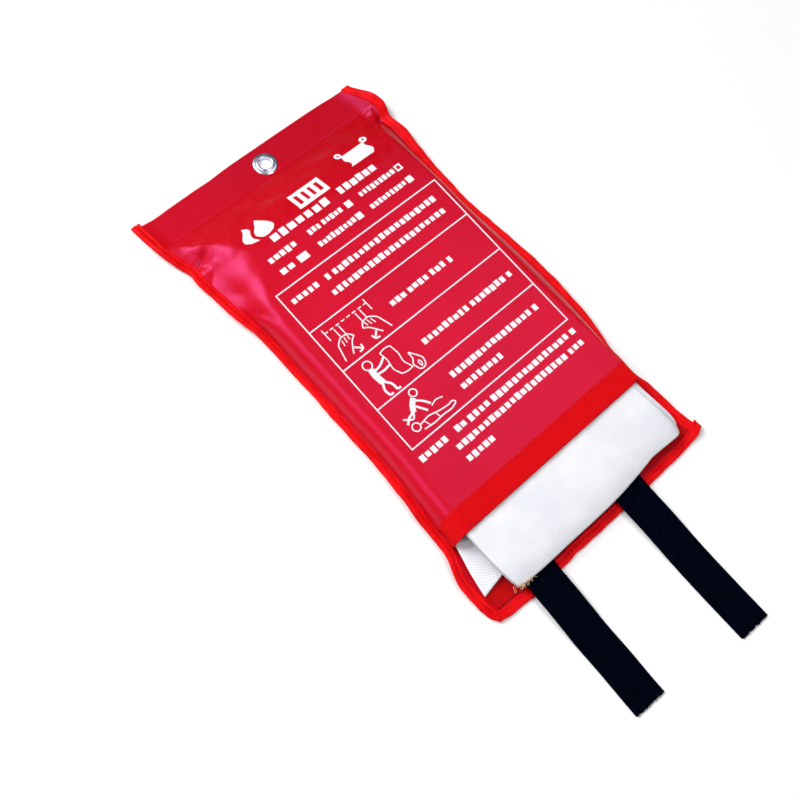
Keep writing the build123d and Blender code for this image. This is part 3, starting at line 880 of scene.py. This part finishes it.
def panel_path():
    """(x, offset) across the cloth: eight panels folded back and forth into one stack."""
    stagger = np.random.default_rng(5).uniform(-1.6, 1.6, PANELS_ACROSS + 1)
    x, offset = [], []
    for i in range(PANELS_ACROSS):
        o = (i - (PANELS_ACROSS - 1) / 2) * LAYER
        left, right = FOLD_LEFT + stagger[i + i % 2], FOLD_RIGHT + stagger[i + 1 - i % 2]
        ends = (left, right) if i % 2 else (right, left)
        count = 74 if i == PANELS_ACROSS - 1 else 12
        x += list(np.linspace(*ends, count))
        offset += [o] * count
        if i < PANELS_ACROSS - 1:
            out = 1 if ends[1] == right else -1
            for t in (0.25, 0.5, 0.75):
                x.append(ends[1] + out * LAYER / 2 * math.sin(math.pi * t))
                offset.append(o + LAYER / 2 * (1 - math.cos(math.pi * t)))
    return np.array(x), np.array(offset)


def stack_path():
    """(station, height, normal) along the cloth: five stacks folded back and forth."""
    rows = []
    for k in range(PANELS_ALONG):
        z = PACK_BOTTOM + STACK * (k + 0.5)
        to_mouth = k % 2 == 0
        near = LIP if k == PANELS_ALONG - 1 else RECESS
        run = stations((FAR_END, 110, 9.0), (110, near, 1.5 if near == LIP else 5.0))
        run = run if to_mouth else run[::-1]
        normal = (0.0, 1.0) if to_mouth else (0.0, -1.0)
        rows += [(s, z, *normal) for s in run]
        if k < PANELS_ALONG - 1:
            out = -1 if to_mouth else 1
            for t in np.linspace(0, math.pi, 9)[1:-1]:
                turn = (run[-1] + out * STACK / 2 * math.sin(t), z + STACK / 2 * (1 - math.cos(t)))
                direction = (out * math.cos(t), math.sin(t))
                rows.append((*turn, direction[1], -direction[0]))
    return np.array(rows)


def settle(x, s, z, offset):
    """Moves the neat stack to where the soft cloth lies: rounded sides, drooping lip."""
    centre = (FOLD_LEFT + FOLD_RIGHT) / 2
    high = np.clip((z - 12.5) / 7.5, 0, 1)
    low = np.clip((7.0 - z) / 4.5, 0, 1)
    inset = 6.5 * (1 - np.sqrt(1 - 0.98 * high**2)) + 2.5 * low**2
    x = centre + (x - centre) * (1 - inset / 95)
    top_stack = smooth((z - (PACK_TOP - STACK) + 0.4) / 0.8)
    near = smooth((62 - s) / 50)
    x = x - spread(s) * (0.35 + 0.65 * top_stack) * smooth((-50 - x) / 38)
    x = x + 4.2 * near * top_stack * smooth((x - 70) / 26)
    x = x + 3.2 * top_stack * smooth(2.5 - offset / LAYER) * smooth((-70 - x) / 16)
    at_lip = np.clip((70 - s) / (70 - LIP), 0, 1) ** 2
    back = (0.5 - offset / STACK) * 1.9
    s = s + top_stack * at_lip * (lip_line(x) - LIP + back)
    droop = sag(s - (lip_line(x) - LIP) * 0.8)
    droop = droop + 1.2 * smooth((-92 - x) / 10) * near + 1.4 * smooth((x - 94) / 9) * near
    z = z - droop * np.clip((z - PACK_BOTTOM) / (PACK_TOP - STACK - PACK_BOTTOM), 0, 1)
    side = 2.2 * smooth((x - 92) / 12) ** 2 + 2.0 * smooth((-84 - 0.8 * spread(s) - x) / 12) ** 2
    z = z - side * high
    z = z + 0.22 * cloth_folds(x, s) * smooth((z - 8) / 6) * smooth((100 - s) / 30) - 0.12 * high
    return x, s, z


panel_x, panel_offset = panel_path()
stack_rows = stack_path()
S = stack_rows[:, 0][:, None] + stack_rows[:, 2][:, None] * panel_offset
Z = stack_rows[:, 1][:, None] + stack_rows[:, 3][:, None] * panel_offset
X = np.broadcast_to(panel_x, S.shape)
X, S, Z = settle(X, S, Z, np.broadcast_to(panel_offset, S.shape))
blanket = sheet_piece("folded_glass_cloth", places(X, S, Z), CLOTH, glass.material)


def on_lip(x, s):
    """A place on the upper face of the blanket near the mouth."""
    x, s = np.broadcast_arrays(np.asarray(x, float), np.asarray(s, float))
    px, ps, pz = settle(x, s, np.full(x.shape, PACK_TOP - LAYER / 2), np.full(x.shape, STACK / 2 - LAYER / 2))
    return places(px, ps, pz + CLOTH / 2)


hem_threads = Collector()
hem_x = np.linspace(-82, 96, 260)
stitch_row(hem_threads, on_lip(hem_x, LIP + 4.6 + 0.3 * np.sin(hem_x / 11)), pitch=3.4, radius=0.16)
hem_stitches = hem_threads.piece("hem_stitches", white_thread.material)

# a lower fold of the cloth that has slipped out to the left


slipped_edge = through([
    (22, -116.2), (27, -115.4), (43, -112.0), (60, -107.2), (80, -102.5), (100, -97), (126, -90),
])


def slipped_fold():
    rows = []
    for t in np.linspace(0, 1, 64):
        s = 22 + t * 104
        outer = slipped_edge(s)
        inner_s = s + 4.0 * (1 - smooth((s - 21) / 22))
        u = np.linspace(0, 1, 28)
        x = -84 + (outer + 84) * u
        s_row = inner_s + (s - inner_s) * u**1.5
        z = 3.7 + 1.5 * smooth((0.9 - u) / 0.6) + 1.4 * smooth((s - 24) / 50) + 0.3 * np.sin(u * 5 + s / 14)
        top = places(x, s_row, z)
        turn = np.array([[outer - 0.35, s, 3.35 + 1.4 * smooth((s - 24) / 50) + 0.3 * math.sin(5 + s / 14)]])
        under = top[::-1] - [0, 0, 0.75]
        rows.append(np.concatenate([top, turn, under]))
    return np.array(rows)


loose_fold = sheet_piece("slipped_fold", slipped_fold(), CLOTH, fold_glass.material)

yarns = Collector()
draw = np.random.default_rng(83)
for _ in range(26):
    x0 = draw.uniform(-92, -77)
    start = on_lip(x0, LIP + draw.uniform(0.2, 2.2))
    t = np.linspace(0, 1, 9)
    long, drift, hang = draw.uniform(2.5, 6.0), draw.uniform(-3.5, 3.5), draw.uniform(0.8, 2.2)
    path = places(
        start[0] + drift * t + 0.5 * np.sin(6 * t + drift),
        start[1] - long * t * (1 - 0.35 * t),
        start[2] + 0.25 * np.sin(math.pi * t) - hang * t**1.5,
    )
    yarns.add(*tube(path, 0.17 * (1 - 0.4 * t), sides=5))
frayed_yarns = yarns.piece("frayed_yarns", raw_yarn.material)

# ======================= the pull straps =======================

WEBBING = 1.4
STRAP_WIDTH = 30.0


STRAPS = {
    "left": dict(x=-72.0, slant=3.1, seed=91),
    "right": dict(x=32.0, slant=1.4, seed=95),
}
HINGES = {joint["child"]: joint["pos_m"] for joint in frame["joints"] if "pos_m" in joint}
HINGE_Y = HINGES["left_strap"][1]
HINGE_S = station(HINGE_Y)
STRAP_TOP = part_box("left_strap_sewn_end")[1].z / MM
SEWN = 56.0
SEWN_RISE = [(-58, STRAP_TOP - 0.75), (0, STRAP_TOP - 0.75), (8, 5.75)]
webbing_rise = {
    "left": through(SEWN_RISE + [(26, 4.9), (44, 3.3), (58, 1.5), (70, 0.78), (200, 0.78)]),
    "right": through(SEWN_RISE + [(26, 4.8), (46, 3.0), (62, 1.3), (76, 0.78), (200, 0.78)]),
}
straps = {}
strap_ends = {}
for side, strap in STRAPS.items():
    slant = math.radians(strap["slant"])
    lowest = station(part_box(f"{side}_pull_strap")[0].y)
    free = (HINGE_S - lowest - STRAP_WIDTH / 2 * math.sin(slant)) / math.cos(slant)
    out = np.array([-math.sin(slant), -math.cos(slant)])
    sideways = np.array([-out[1], out[0]])
    run = np.arange(-SEWN, free, 0.55)
    wide = np.linspace(-STRAP_WIDTH / 2, STRAP_WIDTH / 2, 58)
    R, W = np.meshgrid(run, wide, indexing="ij")
    ragged = 0.5 * ripples(strap["seed"], 16, 1.2, 6)(wide, 0.0)
    R = R + ragged * smooth((R - free + 3) / 3)
    bow = ripples(strap["seed"] + 1, 8, 60, 200)(run, 0.0)[:, None]
    sway = 0.5 * bow * smooth((R - 10) / 40)
    px = strap["x"] + out[0] * R + sideways[0] * (W + sway)
    ps = HINGE_S + out[1] * R + sideways[1] * (W + sway)
    ribs = 0.10 * np.sin(2 * math.pi * W / 1.55) * np.cos(2 * math.pi * R / 2.2)
    selvage = -0.22 * smooth((np.abs(W) - STRAP_WIDTH / 2 + 1.6) / 1.4)
    arch = 0.25 * smooth((R - 4) / 20) * (1 - (2 * W / STRAP_WIDTH) ** 2)
    wave = 0.25 * (1 + ripples(strap["seed"] + 2, 8, 30, 90)(R, W * 0.3)) * smooth((R - 20) / 30)
    pz = webbing_rise[side](R) + arch + np.maximum(wave, 0)
    points, faces, uv = thicken(*cloth_grid(places(px, ps, pz)), WEBBING)
    relief = np.concatenate([(ribs + selvage).ravel(), -(ribs + selvage).ravel()])
    points[:, 2] += relief
    points[:, 2] = np.maximum(points[:, 2], 0.02)
    straps[side] = new_piece(f"{side}_webbing_strap", points, faces, webbing.material, uv)
    ends = Collector()
    draw = np.random.default_rng(strap["seed"])
    for w in np.linspace(-14.4, 14.4, 46):
        t = np.linspace(0, 1, 4)
        long, drift = draw.uniform(0.5, 2.0), draw.uniform(-0.6, 0.6)
        at = free - 0.4 + long * t
        path = places(
            strap["x"] + out[0] * at + sideways[0] * (w + drift * t),
            HINGE_S + out[1] * at + sideways[1] * (w + drift * t),
            0.8 + draw.uniform(-0.3, 0.5) + draw.uniform(-0.4, 0.3) * t,
        )
        ends.add(*tube(path, 0.16 * (1 - 0.5 * t), sides=4))
    strap_ends[side] = ends.piece(f"{side}_strap_cut_end", black_thread.material)

# ======================= the printed instructions =======================

# A panel of rows in white ink. Words are stood for by rows of plain marks, and the pictures
# are simple ones: two hands on two straps, a figure with a sheet at a flame, a covered figure.
INK = 0.1
INK_LIFT = 0.06
PRINT_SHIFT, PRINT_SKEW = 0.2, 0.040  # the cloth lies a little askew on the pack
PRINT_CORNERS = list(zip(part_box("instruction_print"), (0.5, -0.5)))
PRINT_X = [corner.x / MM + PRINT_SHIFT + inset for corner, inset in PRINT_CORNERS]
PRINT_S = [station(corner.y) + inset for corner, inset in PRINT_CORNERS]
ROW = (PRINT_S[1] - PRINT_S[0]) / 4
print_marks = Collector()


def ink_patch(grid_x, grid_s):
    """A thin patch of ink lying on the front cloth, over a grid of places."""
    z = front_height(grid_x, grid_s) + FABRIC / 2 + INK_LIFT + INK / 2
    points, faces, uv = thicken(*cloth_grid(places(grid_x, grid_s, z)), INK)
    print_marks.add(points, faces.tolist())


def ink_block(x, s, width, height, slant=0.0):
    """A filled block, subdivided so that it follows the cloth."""
    across = np.linspace(-width / 2, width / 2, max(2, int(width / 3) + 2))
    along = np.linspace(-height / 2, height / 2, max(2, int(height / 3) + 2))
    U, V = np.meshgrid(across, along)
    ink_patch(x + U + slant * V, s + V)


def ink_line(path, width=1.0):
    """A line of ink along a smooth path of (x, station) places."""
    path = np.array(path, float)
    reach = np.concatenate([[0], np.cumsum(np.linalg.norm(np.diff(path, axis=0), axis=1))])
    steps = max(int(reach[-1] / 1.2), 3)
    t = np.linspace(0, reach[-1], steps)
    centre = np.stack([np.interp(t, reach, path[:, k]) for k in (0, 1)], axis=1)
    if len(path) > 2:
        for _ in range(2):
            centre[1:-1] = centre[1:-1] * 0.5 + (centre[:-2] + centre[2:]) * 0.25
    forward = np.gradient(centre, axis=0)
    forward /= np.linalg.norm(forward, axis=1, keepdims=True)
    side = np.stack([forward[:, 1], -forward[:, 0]], axis=1) * width / 2
    ink_patch(
        np.stack([centre[:, 0] - side[:, 0], centre[:, 0] + side[:, 0]], axis=1),
        np.stack([centre[:, 1] - side[:, 1], centre[:, 1] + side[:, 1]], axis=1),
    )


def ink_ring(x, s, radius, width):
    t = np.linspace(0, 2 * math.pi, 28)
    ink_line(np.stack([x + radius * np.cos(t), s + radius * np.sin(t)], axis=1), width)


def ink_frame(x, s, width, height, line):
    for end in (0.5, -0.5):
        ink_block(x, s + end * (height - line), width, line)
        ink_block(x + end * (width - line), s, line, height)


def greeked(x_span, s, height, seed, share=0.86):
    """A row of plain filled marks of a character's size: writing without letters."""
    draw = np.random.default_rng(seed)
    x, cell = x_span[0], height * share
    while x + cell <= x_span[1]:
        width, tall = cell * draw.uniform(0.72, 0.92), height * draw.uniform(0.72, 0.96)
        ink_block(x + cell / 2, s + height * draw.uniform(-0.05, 0.05), width, tall)
        x += cell * (1.13 if draw.uniform() > 0.06 else 1.55)


def ink_fill(x, s, levels, left, right):
    """A filled shape between a left and a right outline, given at rising levels."""
    v = np.linspace(levels[0], levels[-1], 14)
    lo, hi = np.interp(v, levels, left), np.interp(v, levels, right)
    share = np.linspace(0, 1, 6)
    ink_patch(x + lo[:, None] + (hi - lo)[:, None] * share, np.repeat(s + v[:, None], 6, axis=1))


# rows of the frame
RULE = 1.1
for k in range(5):
    middle_x = sum(PRINT_X) / 2 + PRINT_SKEW * (k - 2) * ROW
    ink_block(middle_x, PRINT_S[0] + k * ROW, PRINT_X[1] - PRINT_X[0] + RULE, RULE)
for x in PRINT_X:
    ink_block(x, sum(PRINT_S) / 2, RULE, PRINT_S[1] - PRINT_S[0] + RULE, PRINT_SKEW)

# heading: a flame, a folded sheet and a pouch with two straps, over a bold row of marks
FLAME_LEVELS = (-9, -7.5, -4, 0, 4, 7, 9.5)
ink_fill(-48.5, 363.5, FLAME_LEVELS, (-6, -12, -16, -15, -11, -9, -8.4), (-4, -5, -7.5, -6.5, -3.5, -4.5, -8))
ink_fill(-48.5, 363.5, FLAME_LEVELS, (1.2, -1, -4.0, -2.6, 1.6, 3.4, 5.6), (6, 12, 15.5, 14, 11, 8.4, 6.0))
ink_frame(9.5, 364.5, 33, 17.5, 3.6)
for k in (-1, 0, 1):
    ink_block(9.5 + 7.2 * k, 364.5, 4.0, 13)
SHEET_LEVELS = (-9, -6, -3, 0, 3, 6.5)
ink_fill(70, 369.5, SHEET_LEVELS, (-14.5, -12, -12.5, -14.5, -14, -12.5), (11, 14, 15, 13.5, 12, 12.5))
for side in (-1, 1):
    ink_ring(70 + 14.6 * side, 378.0, 2.6, 2.2)
greeked((-45.5, 22), 348.4, 8.0, 101, 1.0)
greeked((28, 79), 348.6, 8.0, 102, 0.8)
greeked((-61, -27), 334.2, 6.2, 103)
SIZE_BOXES = [
    (-18, 22.6, 334.6, 27.2, False), (40, 80.8, 335.4, 85.6, True),
    (-18.4, 22.2, 320.6, 26.8, False), (39.8, 80.4, 320.8, 85.0, False),
]
for x0, x1, s, box_x, ticked in SIZE_BOXES:
    greeked((x0, x1), s, 5.6, int(s * 10 + x0), 0.72)
    if ticked:
        ink_frame(box_x, s, 6.4, 6.4, 1.5)
    else:
        ink_block(box_x, s, 6.2, 6.2)
greeked((-60, -41), 320.4, 6.2, 107, 1.1)
ink_block(-35.6, 320.6, 10.2, 6.6)

# words of the rows and below them: (from x, to x, station, height of the marks)
WORDS = [
    (-71, -41, 294.6, 6.0), (-35, 92, 294.4, 6.0), (-40, 92, 280.6, 6.0), (-10, 63, 243.6, 6.0),
    (-13.5, 93, 202.0, 6.0), (-16.5, 85, 166.4, 6.0), (-16.5, 33, 153.6, 6.0), (-85, -52, 130.6, 6.2),
    (-46, 93, 130.8, 6.2), (-55.5, 95, 119.2, 6.2), (-56, -20, 107.0, 6.2),
]
for k, (x0, x1, s, mark) in enumerate(WORDS):
    greeked((x0, x1), s, mark, 111 + k)

# first picture: a pouch mouth with two straps, and a hand on each
for x in np.arange(-68, -24, 6.0):
    ink_block(x, 257.5, 3.6, 1.0)
for x in (-69.5, -24.5):
    ink_line([(x, 261.5), (x, 250)], 1.0)
HANDS_X = -47.0
HANDS = [
    (1.0, (9, 256), (9, 247)), (1.0, (14, 256), (14, 248)),
    (1.1, (5, 242), (8, 246.5), (15, 247.5), (21, 243), (23, 236), (25, 229)),
    (1.1, (5, 242), (9, 240), (12, 236), (16, 230)),
    *((0.9, (9 + 3.4 * k, 246.6 - k), (10 + 3.4 * k, 241.6 - k)) for k in range(3)),
    (1.6, (12, 234), (7, 229.5)), (1.4, (6, 233), (6.4, 228.4), (11, 228.2)),
]
for side in (-1, 1):
    for width, *path in HANDS:
        ink_line([(HANDS_X + side * x, s) for x, s in path], width)

# second picture: a figure holds a sheet up before itself, over a flame; each line is its
# width and its places
UNFOLDING = [
    (5.5, (-62, 211), (-63, 205), (-62, 197)), (1.8, (-62, 208), (-54, 209), (-47, 213)),
    (1.8, (-62, 205), (-54, 204), (-47, 205)), (2.0, (-62, 198), (-66, 191), (-65, 185.4)),
    (2.0, (-62, 198), (-57, 192), (-57, 185.6)), (1.8, (-65, 185.4), (-61.6, 185.2)),
    (1.8, (-57, 185.6), (-53.6, 185.4)), (1.0, (-47, 217), (-46, 209), (-48, 200), (-45, 193)),
    (1.0, (-36, 217), (-35, 208), (-37, 200), (-34, 192)), (1.0, (-47, 217), (-41, 218.4), (-36, 217)),
    (1.0, (-45, 193), (-40, 191.6), (-34, 192)),
    (1.1, (-31, 187), (-33, 193), (-29, 197), (-29, 204), (-25, 198), (-22, 193), (-24, 187),
     (-28, 185.4), (-31, 187)),
    (0.9, (-27.6, 187.6), (-28.6, 191), (-26.6, 194.4), (-25.4, 190), (-27.6, 187.6)),
]
# third picture: a figure lying under a sheet, and another that spreads it
COVERING = [
    (1.1, (-64, 152), (-54, 153.5), (-44, 151), (-35, 150)),
    (1.1, (-64, 147), (-54, 146), (-44, 146.6), (-35, 146)),
    (1.1, (-35, 150), (-30, 151), (-28, 148), (-35, 146)), (0.9, (-60, 153), (-58, 147)),
    (0.9, (-48, 152), (-47, 146.6)), (4.6, (-53, 172), (-58, 168), (-61, 163)),
    (1.8, (-55, 171), (-49, 166), (-45, 160)), (1.8, (-58, 168), (-54, 162), (-51, 157)),
    (2.0, (-61, 163), (-67, 162), (-72, 158)), (1.4, (-61, 163), (-65, 158), (-72, 163.6)),
    (1.0, (-46, 158), (-40, 160), (-34, 158)),
]
for width, *path in UNFOLDING + COVERING:
    ink_line(path, width)
for x, s, radius in ((-62, 215.5, 4.2), (-68, 152.5, 3.8), (-50, 175.5, 3.6)):
    ink_ring(x, s, radius, 1.1)
printed = print_marks.piece("printed_instructions", ink.material, smooth_shaded=False)

# ======================= how each piece rides =======================

for piece in (pouch_cloth, bindings["left"], bindings["right"], flap_stitches):
    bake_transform(piece)
for piece in (loop_strip, loop_fuzz, loop_stitches, eyelet_ring, washer_ring, header_stitches, printed,
              *pouch_stitches.values()):
    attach(piece, "pouch")
for piece in (end_binding, hook_strip, hook_teeth, hook_stitches):
    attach(piece, "flap")
for piece in (blanket, hem_stitches, loose_fold, frayed_yarns):
    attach(piece, "blanket")
for side in STRAPS:
    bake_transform(straps[side])
    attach(strap_ends[side], f"{side}_strap")

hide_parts("front_panel", "front_panel_slope", "header_fold", "back_panel", "mouth_flap")
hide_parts("left_side_binding", "flap_left_binding")
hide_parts("right_side_binding", "flap_right_binding")
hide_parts("flap_end_binding")
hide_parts("left_side_stitching")
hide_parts("right_side_stitching")
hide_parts("flap_stitching")
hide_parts("header_stitching")
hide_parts("loop_tape")
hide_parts("loop_tape_stitching")
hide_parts("hook_tape")
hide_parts("hook_tape_stitching")
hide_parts("eyelet")
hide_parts("eyelet_washer")
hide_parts("instruction_print")
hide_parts("folded_blanket")
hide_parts("hem_stitching")
for side in STRAPS:
    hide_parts(f"{side}_pull_strap", f"{side}_strap_sewn_end")

stitch_node = frame["nodes"]["strap_stitching"]
stitch_node.data.materials.clear()
stitch_node.data.materials.append(black_thread.material)

# ======================= floor, light and camera =======================

FLOOR = 6.0  # metres from the middle to each side
CORNERS = ((-1, -1), (1, -1), (1, 1), (-1, 1))
floor_mesh = bpy.data.meshes.new("floor")
floor_mesh.from_pydata([(x * FLOOR, y * FLOOR, 0) for x, y in CORNERS], [], [(0, 1, 2, 3)])
floor = bpy.data.objects.new("floor", floor_mesh)
bpy.context.scene.collection.objects.link(floor)
floor_mesh.materials.append(
    mottled("pale_floor", 0.9, 0.4, 2, (0.925, 0.925, 0.93), (0.935, 0.935, 0.94)).material
)

HORIZON_LIGHT, ZENITH_LIGHT = 0.90, 0.31
world = bpy.data.worlds.new("studio")
world.use_nodes = True
sky = world.node_tree
direction = sky.nodes.new("ShaderNodeTexCoord").outputs["Generated"]
height = sky.nodes.new("ShaderNodeSeparateXYZ")
sky.links.new(direction, height.inputs[0])
brightness = sky.nodes.new("ShaderNodeMapRange")
for k, value in enumerate((0.0, 1.0, HORIZON_LIGHT, ZENITH_LIGHT)):
    brightness.inputs[k + 1].default_value = value
sky.links.new(height.outputs["Z"], brightness.inputs[0])
sky.links.new(brightness.outputs[0], sky.nodes["Background"].inputs["Strength"])
bpy.context.scene.world = world


def softbox(name, place, aim_y, size, power):
    """A square area light aimed at a point of the pouch's middle line."""
    light = bpy.data.lights.new(name, "AREA")
    light.size, light.energy = size, power
    lamp = bpy.data.objects.new(name, light)
    lamp.location = place
    lamp.rotation_euler = (Vector((0, aim_y, 0)) - Vector(place)).to_track_quat("-Z", "Y").to_euler()
    bpy.context.scene.collection.objects.link(lamp)


softbox("key_light", (-0.95, 1.9, 1.95), 0.05, 1.5, 75)
softbox("top_light", (1.0, 0.25, 2.2), -0.05, 1.0, 9.5)
softbox("side_light", (-1.8, 0.3, 2.3), 0.0, 1.2, 19)
softbox("front_light", (0.3, -2.2, 2.2), 0.0, 1.6, 39)

AZIMUTH, ELEVATION, ROLL = math.radians(-62.0), math.radians(64.7), math.radians(20.3)
TARGET = Vector((-0.0533, 0.0352, 0.0))
DISTANCE = 1.030
LENS = 57.95
SENSOR = 36.0

flat_share = math.cos(ELEVATION)
back = Vector((math.sin(AZIMUTH) * flat_share, -math.cos(AZIMUTH) * flat_share, math.sin(ELEVATION)))
level = (-back).cross(Vector((0, 0, 1))).normalized()
upright = level.cross(-back)
right = math.cos(ROLL) * level + math.sin(ROLL) * upright
up = -math.sin(ROLL) * level + math.cos(ROLL) * upright
camera_data = bpy.data.cameras.new("camera")
camera_data.lens, camera_data.sensor_width = LENS, SENSOR
camera = bpy.data.objects.new("camera", camera_data)
camera.location = TARGET + back * DISTANCE
camera.rotation_mode = "QUATERNION"
camera.rotation_quaternion = Matrix((right, up, back)).transposed().to_quaternion()
bpy.context.scene.collection.objects.link(camera)
bpy.context.scene.camera = camera
bpy.context.scene.view_settings.view_transform = "Standard"
